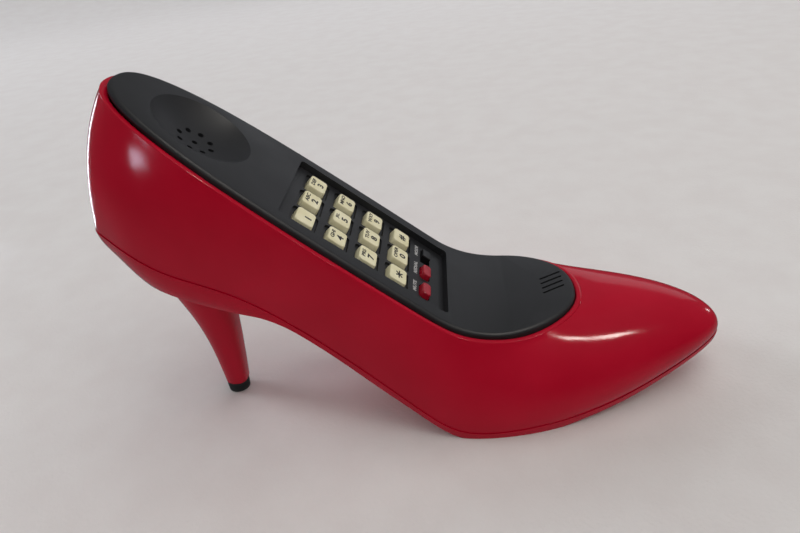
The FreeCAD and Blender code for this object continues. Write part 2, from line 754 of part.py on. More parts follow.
def key_hole(top_s, top_y, s, y):
    foot_s, foot_y = key_foot(top_s, top_y)
    return rounded_box(s - foot_s / 2 - KEY_FIT, s + foot_s / 2 + KEY_FIT, y - foot_y / 2 - KEY_FIT,
                       y + foot_y / 2 + KEY_FIT, FLOOR_N - OVER, OVER, KEY_CORNER + KEY_FIT)


def function_centres():
    return {"redial_button": 0.0, "mute_button": -FUNCTION_PITCH}


def plate_cuts():
    """Recess, key pockets and holes, dish, ear holes and screw pilots, in plate axes."""
    cuts = [rounded_box(RECESS_S0, RECESS_S1, -RECESS_HALF, RECESS_HALF, -RECESS_DEPTH, RECESS_OPEN,
                        RECESS_CORNER)]
    for _, s, y in key_centres():
        cuts.append(rounded_box(s - POCKET_S / 2, s + POCKET_S / 2, y - POCKET_Y / 2, y + POCKET_Y / 2,
                                -RECESS_DEPTH - POCKET_DEPTH, 0.0, KEY_CORNER))
        cuts.append(key_hole(KEY_TOP_S, KEY_TOP_Y, s, y))
    for y in function_centres().values():
        cuts.append(key_hole(BUTTON_S, BUTTON_Y, FUNCTION_S, y))
    cuts.append(box(FUNCTION_S - SLIDER_S / 2 - KEY_FIT, FUNCTION_S + SLIDER_S / 2 + KEY_FIT,
                    SLIDER_REST_Y - SLIDER_Y / 2 - SLIDER_TRAVEL - KEY_FIT,
                    SLIDER_REST_Y + SLIDER_Y / 2 + KEY_FIT, FLOOR_N - OVER, OVER))
    sphere_r = (EAR_RADIUS ** 2 + EAR_DEPTH ** 2) / (2 * EAR_DEPTH)
    cuts.append(Part.makeSphere(sphere_r, Vector(EAR_S, 0, sphere_r - EAR_DEPTH)))
    cuts.append(rod(EAR_CHAMBER_R, EAR_S, 0, EAR_SEAT_N - OVER, EAR_SEAT_N + EAR_CHAMBER))
    holes = [(0.0, 0.0)]
    for k in range(EAR_HOLES):
        turn = 2 * math.pi * k / EAR_HOLES
        holes.append((EAR_RING * math.cos(turn), EAR_RING * math.sin(turn)))
    cuts += [rod(EAR_HOLE, EAR_S + a, b, EAR_SEAT_N - OVER, 0.0) for a, b in holes]
    cuts += [rod(PILOT_R, s, y, BOARD_N - OVER, LIP_N) for s, y in KEYPAD_BOSSES]
    cuts += [rod(PILOT_R, EAR_S, y, CLAMP_N - OVER, CLAMP_N + CLAMP_PILOT) for y in (-CLAMP_Y, CLAMP_Y)]
    return cuts


def mic_slots():
    cuts = []
    for k in range(SLOT_COUNT):
        slot = rounded_box(-SLOT_LENGTH / 2, SLOT_LENGTH / 2, -SLOT_WIDTH / 2, SLOT_WIDTH / 2,
                           PLATE_LEVEL_Z - PLATE_THICK - SEAM_GAP, PLATE_LEVEL_Z + OVER, SLOT_CORNER)
        slot.rotate(Vector(0, 0, 0), Vector(0, 0, 1), SLOT_TURN)
        slot.translate(Vector(SLOT_X, SLOT_Y + (k - (SLOT_COUNT - 1) / 2) * SLOT_PITCH, 0))
        cuts.append(slot)
    return cuts


def faceplate():
    prism = plate_prism(0.0)
    skin = prism.common(plate_slab(0.0, PLATE_THICK))
    edge = [e for e in skin.Edges if is_top_edge(e)]
    skin = skin.makeFillet(PLATE_EDGE_ROUND, edge)
    skirt = plate_prism(-SKIRT_INSET).cut(plate_prism(-SKIRT_INSET - SKIRT_WALL))
    skirt = skirt.common(plate_slab(PLATE_THICK - SKIRT_ROOT, SKIRT_DEPTH))
    tray = box(RECESS_S0 - TRAY_WALL, RECESS_S1 + TRAY_WALL, -RECESS_HALF - TRAY_WALL,
               RECESS_HALF + TRAY_WALL, FLOOR_N, -OVER)
    under = [tray, rod(EAR_SEAT_R, EAR_S, 0, EAR_SEAT_N, -OVER)]
    under += [rod(BOSS_SMALL_R, s, y, BOARD_N, FLOOR_N + OVER) for s, y in KEYPAD_BOSSES]
    under += [rod(CLAMP_BOSS_R, EAR_S, y, CLAMP_N, -OVER) for y in (-CLAMP_Y, CLAMP_Y)]
    below = plate_slab(OVER, REACH)
    pillars = [rod(PILLAR_R, x, y, boss_top(x) + SEAM_GAP, plate_z(x) + OVER) for x, y in PILLARS]
    mic_cup = rod(MIC_CUP_R, MIC_X, MIC_Y, PLATE_LEVEL_Z - MIC_CUP_DEPTH, PLATE_LEVEL_Z - OVER)
    plate = skin.fuse([skirt, mic_cup] + [p.common(below) for p in pillars] + [plate_frame(u) for u in under])
    cuts = [plate_frame(c) for c in plate_cuts()] + mic_slots()
    cuts.append(rod(MIC_CUP_BORE, MIC_X, MIC_Y, PLATE_LEVEL_Z - MIC_CUP_DEPTH - OVER,
                    PLATE_LEVEL_Z - PLATE_THICK))
    for x, y in PILLARS:
        cuts.append(rod(SCREW_R + SEAM_GAP, x, y, boss_top(x) - OVER, boss_top(x) + SCREW_LENGTH))
    return plate.cut(cuts)


def is_top_edge(edge):
    """True for an edge that runs along the rim of the plate's face."""
    points = edge.discretize(7)
    level = all(abs(p.z - plate_z(p.x)) < 0.02 for p in points)
    crosswise = all(abs(p.x - points[0].x) < 0.01 for p in points)
    return level and not crosswise


# Keypad works under the plate

def mode_slider():
    knob = box(FUNCTION_S - SLIDER_S / 2, FUNCTION_S + SLIDER_S / 2, SLIDER_REST_Y - SLIDER_Y / 2,
               SLIDER_REST_Y + SLIDER_Y / 2, LIP_N, SLIDER_TOP_N)
    top = [e for e in knob.Edges if e.BoundBox.ZMin > SLIDER_TOP_N - 0.01]
    knob = knob.makeFillet(SLIDER_ROUND, top)
    foot = box(FUNCTION_S - SLIDER_FOOT_S / 2, FUNCTION_S + SLIDER_FOOT_S / 2,
               SLIDER_REST_Y - SLIDER_FOOT_Y / 2, SLIDER_REST_Y + SLIDER_FOOT_Y / 2,
               LIP_N - KEY_LIP_THICK, LIP_N)
    return plate_frame(knob.fuse(foot))


def keypad_sheet(n0, n1, hole_r):
    """Flat sheet under the keys, with holes for the plate's bosses."""
    sheet = rounded_box(RECESS_S0, RECESS_S1 - OVER, -SHEET_HALF, SHEET_HALF, n0, n1, SHEET_CORNER)
    return sheet.cut([rod(hole_r, s, y, n0 - OVER, n1 + OVER) for s, y in KEYPAD_BOSSES])


def switch_box(room):
    y = SLIDER_REST_Y - SLIDER_TRAVEL / 2
    top = LIP_N - KEY_LIP_THICK - TRAVEL_ROOM
    half_s = SWITCH_S / 2 + room
    half_y = SWITCH_Y / 2 + room
    return box(FUNCTION_S - half_s, FUNCTION_S + half_s, y - half_y, y + half_y, BOARD_N - room, top + room)


def key_mat():
    mat = keypad_sheet(BOARD_N + SEAM_GAP, MAT_N, BOSS_SMALL_R + SHEET_ROOM)
    return plate_frame(mat.cut(switch_box(SWITCH_ROOM)))


def keypad_board():
    return plate_frame(keypad_sheet(BOARD_N - BOARD_THICK, BOARD_N - SEAM_GAP, SCREW_SMALL_ROOM))


def cross_screw(radius, head_r, head, length):
    """Screw along -Z below its head, whose seat is Z = 0, with a cross recess on top."""
    body = rod(head_r, 0, 0, 0, head).fuse(rod(radius, 0, 0, -length, head / 2))
    arm = head_r * CROSS_SHARE
    half = CROSS_WIDTH / 2
    return body.cut([box(-arm, arm, -half, half, head / 2, head + OVER),
                     box(-half, half, -arm, arm, head / 2, head + OVER)])


def screw_group(places, flip=True, turn=None):
    screws = []
    for size, place in places:
        screw = cross_screw(*size)
        if flip:
            screw.rotate(Vector(0, 0, 0), Vector(1, 0, 0), 180)
        screw.translate(place)
        screws.append(turn(screw) if turn else screw)
    return Part.makeCompound(screws)


def keypad_screws():
    n = BOARD_N - BOARD_THICK - SEAM_GAP
    places = [(KEYPAD_SCREW, Vector(s, y, n)) for s, y in KEYPAD_BOSSES]
    return screw_group(places, True, plate_frame)


# Earpiece and mouthpiece

def receiver():
    n = EAR_SEAT_N - GASKET_THICK - SEAM_GAP
    can = rod(RECEIVER_R, EAR_S, 0, n - RECEIVER_DEEP, n)
    lip = [e for e in can.Edges if len(e.Vertexes) == 1 and abs(e.BoundBox.ZMax - n) < SEAM_GAP]
    can = can.makeFillet(RECEIVER_ROUND, lip)
    magnet = rod(MAGNET_R, EAR_S, 0, n - RECEIVER_DEEP - MAGNET_DEEP, n - RECEIVER_DEEP + OVER)
    return plate_frame(can.fuse(magnet))


def receiver_gasket():
    low = EAR_SEAT_N - GASKET_THICK
    ring = rod(GASKET_R, EAR_S, 0, low, EAR_SEAT_N - SEAM_GAP)
    return plate_frame(ring.cut(rod(GASKET_BORE, EAR_S, 0, low - OVER, EAR_SEAT_N + OVER)))


def receiver_clamp():
    """Strap over the back of the earpiece, screwed to two bosses."""
    back = CLAMP_N - SEAM_GAP
    low = back - CLAMP_THICK
    end = CLAMP_Y + CLAMP_HALF
    strap = rounded_box(EAR_S - CLAMP_HALF, EAR_S + CLAMP_HALF, -end, end, low, back, CLAMP_CORNER)
    strap = strap.fuse(rod(CLAMP_RING_R, EAR_S, 0, low, back))
    cuts = [rod(SCREW_SMALL_ROOM, EAR_S, y, low - OVER, back + OVER) for y in (-CLAMP_Y, CLAMP_Y)]
    return plate_frame(strap.cut(cuts + [rod(CLAMP_BORE, EAR_S, 0, low - OVER, back + OVER)]))


def clamp_screws():
    n = CLAMP_N - CLAMP_THICK - 2 * SEAM_GAP
    places = [(CLAMP_SCREW, Vector(EAR_S, y, n)) for y in (-CLAMP_Y, CLAMP_Y)]
    return screw_group(places, True, plate_frame)


def mic_boot():
    top = PLATE_LEVEL_Z - PLATE_THICK - SEAM_GAP
    boot = rod(MIC_CUP_BORE - SEAM_GAP, MIC_X, MIC_Y, PLATE_LEVEL_Z - MIC_CUP_DEPTH, top)
    return boot.cut([rod(MIC_R + SEAM_GAP, MIC_X, MIC_Y, 0, top - MIC_LIP),
                     rod(MIC_PORT_R, MIC_X, MIC_Y, 0, top + OVER)])


def microphone():
    top = PLATE_LEVEL_Z - PLATE_THICK - MIC_LIP - 2 * SEAM_GAP
    can = rod(MIC_R, MIC_X, MIC_Y, top - MIC_LENGTH, top)
    return can.makeFillet(CAN_ROUND, [e for e in can.Edges if e.BoundBox.ZMin > top - SEAM_GAP])


# Boards and parts inside the fore part

def main_board():
    board = rounded_box(BOARD_X0, BOARD_X1, -BOARD_HALF, BOARD_HALF, BOARD_Z + SEAM_GAP,
                        BOARD_TOP, BOARD_CORNER)
    return board.cut([rod(SCREW_SMALL_ROOM, x, y, BOARD_Z - OVER, BOARD_TOP + OVER) for x, y in POSTS])


def board_screws():
    z = BOARD_TOP + SEAM_GAP
    return screw_group([(BOARD_SCREW, Vector(x, y, z)) for x, y in POSTS], False)


def board_chip(x, y, length):
    """Dual in-line chip body with its row of legs bent down to the board."""
    z = BOARD_TOP + SEAM_GAP
    body = box(x - length / 2, x + length / 2, y - CHIP_HALF, y + CHIP_HALF, z + CHIP_LIFT, z + CHIP_HEIGHT)
    count = int(length / CHIP_PITCH)
    legs = []
    for k in range(count):
        lx = x + (k - (count - 1) / 2) * CHIP_PITCH
        for ly in (y - CHIP_HALF - LEG_OUT, y + CHIP_HALF):
            legs.append(box(lx - LEG_WIDTH / 2, lx + LEG_WIDTH / 2, ly, ly + LEG_OUT, z, z + LEG_HEIGHT))
    return body.fuse(legs)


def line_transformer():
    z = BOARD_TOP + SEAM_GAP
    (core_x, core_y, core_z), (coil_x, coil_y, coil_z) = [(a / 2, b / 2, c) for a, b, c in (CORE, COIL)]
    x, y = TRANSFORMER_X, TRANSFORMER_Y
    core = box(x - core_x, x + core_x, y - core_y, y + core_y, z, z + core_z)
    low = z + COIL_LIFT
    coil = rounded_box(x - coil_x, x + coil_x, y - coil_y, y + coil_y, low, low + coil_z, COIL_CORNER)
    return core.fuse(coil)


def capacitors():
    z = BOARD_TOP + SEAM_GAP
    cans = []
    for x, y, radius, height in CANS:
        can = rod(radius, x, y, z, z + height)
        top = [e for e in can.Edges if e.BoundBox.ZMin > z + height - SEAM_GAP]
        cans.append(can.makeFillet(CAN_ROUND, top))
    return Part.makeCompound(cans)


def ringer():
    disc = rod(RINGER_R, RINGER_X, 0, RINGER_Z + SEAM_GAP, RINGER_Z + RINGER_THICK)
    return disc.cut(rod(RINGER_PORT_R, RINGER_X, 0, RINGER_Z - OVER, RINGER_Z + RINGER_PORT))


def hook_plunger():
    pin = rod(HOOK_R, HOOK_X, 0, HOOK_LIFT, HOOK_LIP_Z + HOOK_LIP_THICK)
    pin = pin.makeFillet(HOOK_ROUND, [e for e in pin.Edges if e.BoundBox.ZMax < HOOK_ROUND])
    return pin.fuse([rod(HOOK_LIP_R, HOOK_X, 0, HOOK_LIP_Z, HOOK_LIP_Z + HOOK_LIP_THICK),
                     rod(HOOK_PIN_R, HOOK_X, 0, HOOK_LIP_Z + OVER, HOOK_SWITCH_Z - HOOK_CLEAR)])


def hook_spring():
    low = HOOK_LIP_Z + HOOK_LIP_THICK + PIN_FIT
    coil = rod(SPRING_R, HOOK_X, 0, low, HOOK_SWITCH_Z - PIN_FIT)
    return coil.cut(rod(SPRING_BORE, HOOK_X, 0, low - OVER, HOOK_SWITCH_Z + OVER))


def hook_switch():
    body = box(HOOK_X - HOOK_SWITCH_X / 2, HOOK_X + HOOK_SWITCH_X / 2, -HOOK_SWITCH_Y / 2,
               HOOK_SWITCH_Y / 2, HOOK_SWITCH_Z, BOARD_Z)
    return body.cut(rod(HOOK_PORT_R, HOOK_X, 0, HOOK_SWITCH_Z - OVER, HOOK_SWITCH_Z + HOOK_PORT))


# Line jack at the back of the heel

def jack_cutout():
    half = JACK_WIDTH / 2 + JACK_ROOM
    return box(JACK_X - JACK_DEPTH, JACK_X + JACK_INSIDE, -half, half, JACK_Z - JACK_HEIGHT / 2 - JACK_ROOM,
               JACK_Z + JACK_HEIGHT / 2 + JACK_ROOM)


def line_jack():
    body = box(JACK_X, JACK_X + JACK_DEPTH, -JACK_WIDTH / 2, JACK_WIDTH / 2, JACK_Z - JACK_HEIGHT / 2,
               JACK_Z + JACK_HEIGHT / 2)
    mouth = box(JACK_X - OVER, JACK_X + PLUG_DEPTH, -PLUG_HALF, PLUG_HALF, JACK_Z - PLUG_DOWN,
                JACK_Z + PLUG_UP)
    latch = box(JACK_X - OVER, JACK_X + LATCH_DEPTH, -LATCH_HALF, LATCH_HALF, JACK_Z - LATCH_DOWN,
                JACK_Z - PLUG_DOWN + OVER)
    return body.cut([mouth, latch])


def jack_contacts():
    pins = []
    for k in range(CONTACTS):
        y = (k - (CONTACTS - 1) / 2) * CONTACT_PITCH
        top = JACK_Z + PLUG_UP - SEAM_GAP
        pins.append(box(JACK_X + CONTACT_START, JACK_X + PLUG_DEPTH - LIP_ROOM, y - CONTACT_WIDTH / 2,
                        y + CONTACT_WIDTH / 2, top - CONTACT_WIDTH, top))
    return Part.makeCompound(pins)


def jack_bracket():
    """Small table on the sole's floor that carries the jack."""
    top = JACK_Z - JACK_HEIGHT / 2 - SEAM_GAP
    block = box(JACK_X + BRACKET_START, JACK_X + JACK_DEPTH, -JACK_WIDTH / 2, JACK_WIDTH / 2, 0, top)
    tunnel = box(JACK_X, JACK_X + JACK_DEPTH + OVER, -BRACKET_BORE / 2, BRACKET_BORE / 2, -OVER,
                 top - BRACKET_TOP)
    return block.cut(tunnel).common(above_floor())


def sole_screws():
    places = []
    for x, y in PILLARS:
        seat = sole_z(x) + SCREW_SEAT
        size = (SCREW_R, SCREW_HEAD_R, SCREW_HEAD, boss_top(x) + SCREW_LENGTH - SCREW_SPARE - seat)
        places.append((size, Vector(x, y, seat - SEAM_GAP)))
    return screw_group(places)


def build():
    save("upper_shell", upper_shell().cut(jack_cutout()))
    save("sole", sole_shell())
    save("heel_column", heel_column())
    save("heel_tip", heel_tip())
    save("heel_screw", heel_screw())
    save("sole_screws", sole_screws())
    save("faceplate", faceplate())
    for name, s, y in key_centres():
        save(name, cap(KEY_TOP_S, KEY_TOP_Y, s, y, KEY_TOP_N))
    for name, y in function_centres().items():
        save(name, cap(BUTTON_S, BUTTON_Y, FUNCTION_S, y, BUTTON_TOP_N))
    save("mode_slider", mode_slider())
    save("mode_switch", plate_frame(switch_box(0.0)))
    save("key_mat", key_mat())
    save("keypad_board", keypad_board())
    save("keypad_screws", keypad_screws())
    save("receiver", receiver())
    save("receiver_gasket", receiver_gasket())
    save("receiver_clamp", receiver_clamp())
    save("clamp_screws", clamp_screws())
    save("mic_boot", mic_boot())
    save("microphone", microphone())
    save("main_board", main_board())
    save("board_screws", board_screws())
    save("dialler_chip", board_chip(*DIALLER))
    save("speech_chip", board_chip(*SPEECH))
    save("line_transformer", line_transformer())
    save("capacitors", capacitors())
    save("ringer", ringer())
    save("hook_plunger", hook_plunger())
    save("hook_spring", hook_spring())
    save("hook_switch", hook_switch())
    save("line_jack", line_jack())
    save("jack_contacts", jack_contacts())
    save("jack_bracket", jack_bracket())


os.makedirs(PARTS, exist_ok=True)
build()
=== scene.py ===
# %% [markdown]
# # A telephone in the form of a high-heeled shoe
# The real object is a one-piece push-button telephone: a glossy red moulded shoe with a dark plate where the
# foot would go in. The solids come from the CAD model and already have every main shape. This lesson gives
# them smooth shading, finishes, printed legends, a camera and light, and changes no dimension.

import json
import math

import bmesh
import bpy
from mathutils import Matrix, Vector


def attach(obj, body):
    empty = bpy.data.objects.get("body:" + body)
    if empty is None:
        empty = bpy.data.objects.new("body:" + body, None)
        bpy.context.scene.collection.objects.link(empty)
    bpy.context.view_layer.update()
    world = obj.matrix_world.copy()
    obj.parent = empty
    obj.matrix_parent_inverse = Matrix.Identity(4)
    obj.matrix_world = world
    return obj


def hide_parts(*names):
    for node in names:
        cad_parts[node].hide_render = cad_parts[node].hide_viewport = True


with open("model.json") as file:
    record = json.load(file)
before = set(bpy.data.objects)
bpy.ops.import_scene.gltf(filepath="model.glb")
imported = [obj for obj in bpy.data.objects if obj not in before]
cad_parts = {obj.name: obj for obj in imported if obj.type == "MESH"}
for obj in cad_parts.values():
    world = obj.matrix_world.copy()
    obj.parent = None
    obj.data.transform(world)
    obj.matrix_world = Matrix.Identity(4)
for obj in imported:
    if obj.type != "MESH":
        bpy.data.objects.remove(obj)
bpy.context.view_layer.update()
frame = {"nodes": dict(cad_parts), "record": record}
MM = 0.001
scene = bpy.context.scene

# %% [markdown]
# ## Camera
# The photograph was taken from the near side, slightly above, with the camera rolled a little. The place,
# angles and lens below were found by matching the keys, the heel tip and the plate's rim in the photograph.

# %% Camera
CAMERA_AT = Vector((16.95, -215.3, 178.15)) * MM
CAMERA_AZIMUTH = math.radians(5.916)
CAMERA_ELEVATION = math.radians(29.685)
CAMERA_ROLL = math.radians(-7.0)
SENSOR_MM = 36.0
LENS_MM = 28.8
CLIP_NEAR = 10 * MM

back = Vector((math.sin(CAMERA_AZIMUTH) * math.cos(CAMERA_ELEVATION),
               -math.cos(CAMERA_AZIMUTH) * math.cos(CAMERA_ELEVATION), math.sin(CAMERA_ELEVATION)))
level = Vector((0, 0, 1)).cross(back).normalized()
rise = back.cross(level)
right = level * math.cos(CAMERA_ROLL) + rise * math.sin(CAMERA_ROLL)
up = rise * math.cos(CAMERA_ROLL) - level * math.sin(CAMERA_ROLL)
lens = bpy.data.cameras.new("camera")
lens.sensor_width = SENSOR_MM
lens.lens = LENS_MM
lens.clip_start = CLIP_NEAR
camera = bpy.data.objects.new("camera", lens)
scene.collection.objects.link(camera)
camera.matrix_world = Matrix.Translation(CAMERA_AT) @ Matrix((right, up, back)).transposed().to_4x4()
scene.camera = camera
scene.view_settings.view_transform = "Standard"
print("camera at", [round(c, 3) for c in CAMERA_AT])

# %% [markdown]
# ## Helpers for materials
# Colours are written as sRGB hex, as a paint chart gives them, and turned to linear by one function.
# One small function adds a shader node, sets its inputs and makes its links. Most finishes here are moulded,
# printed or plated, so one more function gives a material what these share: a tone and a gloss that drift in
# soft clouds, and a fine grain that stands in relief. Object coordinates are metres, so a pattern's scale is
# one over its real size.

# %% Colour, node and finish helpers
CLOUD_LOW = 0.35
CLOUD_HIGH = 0.65
CLOUD_DETAIL = 3.0
GRAIN_DETAIL = 2.0
# Places of the sockets on a Mix node that mixes colours
MIX_SHARE = 0
MIX_FIRST = 6
MIX_SECOND = 7
MIX_RESULT = 2


def linear(hex_colour):
    """Linear RGBA of an sRGB hex colour."""
    parts = [int(hex_colour[i:i + 2], 16) / 255 for i in (1, 3, 5)]
    return tuple(c / 12.92 if c <= 0.04045 else ((c + 0.055) / 1.055) ** 2.4 for c in parts) + (1.0,)


def add(tree, kind, settings=(), inputs=()):
    """Add a node; settings are its own fields, and an input is a value or another node's output."""
    node = tree.nodes.new(kind)
    for field, value in dict(settings).items():
        setattr(node, field, value)
    for socket, value in dict(inputs).items():
        if isinstance(value, bpy.types.NodeSocket):
            tree.links.new(value, node.inputs[socket])
        else:
            node.inputs[socket].default_value = value
    return node


def finish(name, tones, tone_mm, gloss, grain_mm, grain_depth_mm):
    """A material with two drifting tones, a drifting roughness and a grain in relief."""
    material = bpy.data.materials.new(name)
    material.use_nodes = True
    tree = material.node_tree
    shader = tree.nodes["Principled BSDF"]
    place = add(tree, "ShaderNodeTexCoord").outputs["Object"]
    cloud = add(tree, "ShaderNodeTexNoise", {"label": "cloud"}, {
        "Vector": place, "Scale": 1 / (tone_mm * MM), "Detail": CLOUD_DETAIL})
    share = add(tree, "ShaderNodeMapRange", {}, {
        "Value": cloud.outputs["Fac"], "From Min": CLOUD_LOW, "From Max": CLOUD_HIGH})
    tone = add(tree, "ShaderNodeMix", {"data_type": "RGBA", "label": "tone"}, {
        MIX_SHARE: share.outputs["Result"], MIX_FIRST: linear(tones[0]), MIX_SECOND: linear(tones[1])})
    rough = add(tree, "ShaderNodeMapRange", {}, {
        "Value": share.outputs["Result"], "To Min": gloss[0], "To Max": gloss[1]})
    grain = add(tree, "ShaderNodeTexNoise", {"label": "grain"}, {
        "Vector": place, "Scale": 1 / (grain_mm * MM), "Detail": GRAIN_DETAIL})
    relief = add(tree, "ShaderNodeBump", {}, {
        "Height": grain.outputs["Fac"], "Distance": grain_depth_mm * MM})
    tree.links.new(tone.outputs[MIX_RESULT], shader.inputs["Base Color"])
    tree.links.new(rough.outputs["Result"], shader.inputs["Roughness"])
    tree.links.new(relief.outputs["Normal"], shader.inputs["Normal"])
    return material, shader


print("sRGB mid grey in linear light:", round(linear("#808080")[0], 3))

# %% [markdown]
# ## Red shell plastic
# The shoe is injection-moulded ABS from a polished mould. It gives the eye a deep red with a clear gloss.
# Handling leaves the gloss a little uneven, and the moulding's skin is very slightly wavy. A lower specular
# level than bare ABS keeps the red deep under the soft lights.

# %% Red ABS
RED = "#bb0a2a"
RED_DEEP = "#b40927"
RED_IOR = 1.46
RED_SPECULAR = 0.3
RED_GLOSS = (0.10, 0.17)
SMEAR_MM = 26.0
PEEL_MM = 9.0
PEEL_DEPTH_MM = 0.010

red_abs, shader = finish("red_moulded_abs", (RED_DEEP, RED), SMEAR_MM, RED_GLOSS, PEEL_MM, PEEL_DEPTH_MM)
shader.inputs["IOR"].default_value = RED_IOR
shader.inputs["Specular IOR Level"].default_value = RED_SPECULAR
print("made", red_abs.name)

# %% [markdown]
# ## Dark plate plastic
# The plate is charcoal ABS moulded against a spark-eroded, finely grained mould, so it is matt with a
# faint sheen. The grain is about 0.3 mm, drawn a little coarser here so that it shows.

# %% Charcoal ABS
CHARCOAL = "#1a1b1d"
CHARCOAL_WORN = "#222326"
CHARCOAL_GLOSS = (0.46, 0.58)
HANDLING_MM = 30.0
GRAIN_MM = 0.45
GRAIN_DEPTH_MM = 0.03
ABS_IOR = 1.52

charcoal_abs, shader = finish("charcoal_grained_abs", (CHARCOAL, CHARCOAL_WORN), HANDLING_MM, CHARCOAL_GLOSS,
                              GRAIN_MM, GRAIN_DEPTH_MM)
shader.inputs["IOR"].default_value = ABS_IOR
print("made", charcoal_abs.name)

# %% [markdown]
# ## Cream keys, crimson buttons and small black parts
# Old cream ABS yellows a little unevenly. The buttons are a more satin red than the shell. The black parts
# are nylon and ABS with a fine grain, the mats are silicone rubber, and the boards have a green lacquer.

# %% Satin plastics
SATIN_PLASTICS = {
    # name: tones, tone size mm, roughness range, grain depth mm
    "cream_key_abs": (("#efe9c4", "#e6dfb4"), 5.0, (0.36, 0.46), 0.006),
    "crimson_button_abs": (("#b00f28", "#9c0b22"), 4.0, (0.26, 0.36), 0.006),
    "black_knob_abs": (("#0e0e0f", "#161617"), 3.0, (0.38, 0.48), 0.010),
    "black_moulding_nylon": (("#1b1b1d", "#242426"), 4.0, (0.42, 0.55), 0.010),
    "grey_silicone_rubber": (("#6d6f72", "#626468"), 4.0, (0.60, 0.75), 0.015),
    "green_board_lacquer": (("#1d5a35", "#174a2b"), 6.0, (0.25, 0.40), 0.004),
}
GRAIN_FINE_MM = 0.25
finishes = {}
for name, (tones, tone_mm, gloss, depth_mm) in SATIN_PLASTICS.items():
    finishes[name], shader = finish(name, tones, tone_mm, gloss, GRAIN_FINE_MM, depth_mm)
    shader.inputs["IOR"].default_value = ABS_IOR
print("made", ", ".join(finishes))

# %% [markdown]
# ## Heel tip
# The tip is black polyurethane rubber. It is matt, and its lower edge is scuffed pale from the table. The
# scuffs fade with height, so the material also reads how high a point is above the floor.

# %% Black rubber with a scuffed edge
TIP_TONES = ("#101010", "#181817")
TIP_SCUFF = "#4a4846"
TIP_TONE_MM = 2.5
TIP_GLOSS = (0.55, 0.75)
TIP_GRAIN_MM = 1.2
TIP_GRAIN_DEPTH_MM = 0.03
SCUFF_TOP = 1.4 * MM
SCUFF_MOST = 0.6

tip_rubber, shader = finish("black_heel_rubber", TIP_TONES, TIP_TONE_MM, TIP_GLOSS, TIP_GRAIN_MM,
                            TIP_GRAIN_DEPTH_MM)
tree = tip_rubber.node_tree
nodes = {node.label: node for node in tree.nodes if node.label}
place = add(tree, "ShaderNodeTexCoord").outputs["Object"]
height = add(tree, "ShaderNodeSeparateXYZ", {}, {"Vector": place}).outputs["Z"]
low = add(tree, "ShaderNodeMapRange", {}, {
    "Value": height, "From Min": 0.0, "From Max": SCUFF_TOP, "To Min": SCUFF_MOST, "To Max": 0.0})
wear = add(tree, "ShaderNodeMath", {"operation": "MULTIPLY"}, {
    0: nodes["grain"].outputs["Fac"], 1: low.outputs["Result"]})
scuffed = add(tree, "ShaderNodeMix", {"data_type": "RGBA"}, {
    MIX_SHARE: wear.outputs["Value"], MIX_FIRST: nodes["tone"].outputs[MIX_RESULT],
    MIX_SECOND: linear(TIP_SCUFF)})
tree.links.new(scuffed.outputs[MIX_RESULT], shader.inputs["Base Color"])
print("made", tip_rubber.name)

# %% [markdown]
# ## Metals
# The screws and clamp are zinc-plated steel, the cans are satin aluminium, and the contacts are brass.
# They are mostly inside; plating and drawing leave a fine grain and an uneven gloss.

# %% Metals
METALS = {
    # name: tones, tone size mm, roughness range
    "zinc_plated_steel": (("#b9bab8", "#a5a7a6"), 1.5, (0.28, 0.42)),
    "satin_aluminium": (("#c9cbcd", "#b9bbbe"), 2.0, (0.30, 0.42)),
    "bright_brass": (("#c9a24a", "#b88f3a"), 2.0, (0.22, 0.36)),
}
METAL_GRAIN_DEPTH_MM = 0.003
for name, (tones, tone_mm, gloss) in METALS.items():
    finishes[name], shader = finish(name, tones, tone_mm, gloss, GRAIN_FINE_MM, METAL_GRAIN_DEPTH_MM)
    shader.inputs["Metallic"].default_value = 1.0
print("made", ", ".join(METALS))

# %% [markdown]
# ## Smooth skins
# The CAD meshes are loose triangles, so curved faces would look faceted in a gloss finish. Each solid gets
# a copy whose doubled points are welded and whose faces are shaded smooth up to a crease angle. The copy
# stands for the node and has the same shape.

# %% Finish of each material slot
SLOT_FINISH = {
    "red_shell": red_abs,
    "black_plate": charcoal_abs,
    "black_tip": tip_rubber,
    "cream_key": finishes["cream_key_abs"],
    "crimson_button": finishes["crimson_button_abs"],
    "black_knob": finishes["black_knob_abs"],
    "black_moulding": finishes["black_moulding_nylon"],
    "grey_rubber": finishes["grey_silicone_rubber"],
    "green_board": finishes["green_board_lacquer"],
    "steel": finishes["zinc_plated_steel"],
    "bright_can": finishes["satin_aluminium"],
    "brass": finishes["bright_brass"],
}
print("slots:", ", ".join(SLOT_FINISH))

# %% Skins for every node
WELD = 0.002 * MM
CREASE = math.radians(28)


def body_of_node(node):
    """Name of the body that holds a CAD node."""
    for body, members in frame["record"]["behaviour"]["bodies"].items():
        if node in members:
            return body


def skin(node, slot):
    """A welded, smoothly shaded copy of a CAD node."""
    mesh = frame["nodes"][node].data.copy()
    mesh.name = node + "_skin"
    work = bmesh.new()
    work.from_mesh(mesh)
    bmesh.ops.remove_doubles(work, verts=work.verts, dist=WELD)
    work.to_mesh(mesh)
    work.free()
    for layer in ("custom_normal", "sharp_face"):
        if layer in mesh.attributes:
            mesh.attributes.remove(mesh.attributes[layer])
    mesh.set_sharp_from_angle(angle=CREASE)
    mesh.materials.clear()
    mesh.materials.append(SLOT_FINISH[slot])
    piece = bpy.data.objects.new(node + "_skin", mesh)
    scene.collection.objects.link(piece)
    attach(piece, body_of_node(node))
    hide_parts(node)
    return piece


skins = {}
for entry in frame["record"]["subparts"]:
    skins[entry["node"]] = skin(entry["node"], entry["material_slot"])
print("skins:", len(skins), "triangles:", sum(len(s.data.polygons) for s in skins.values()))

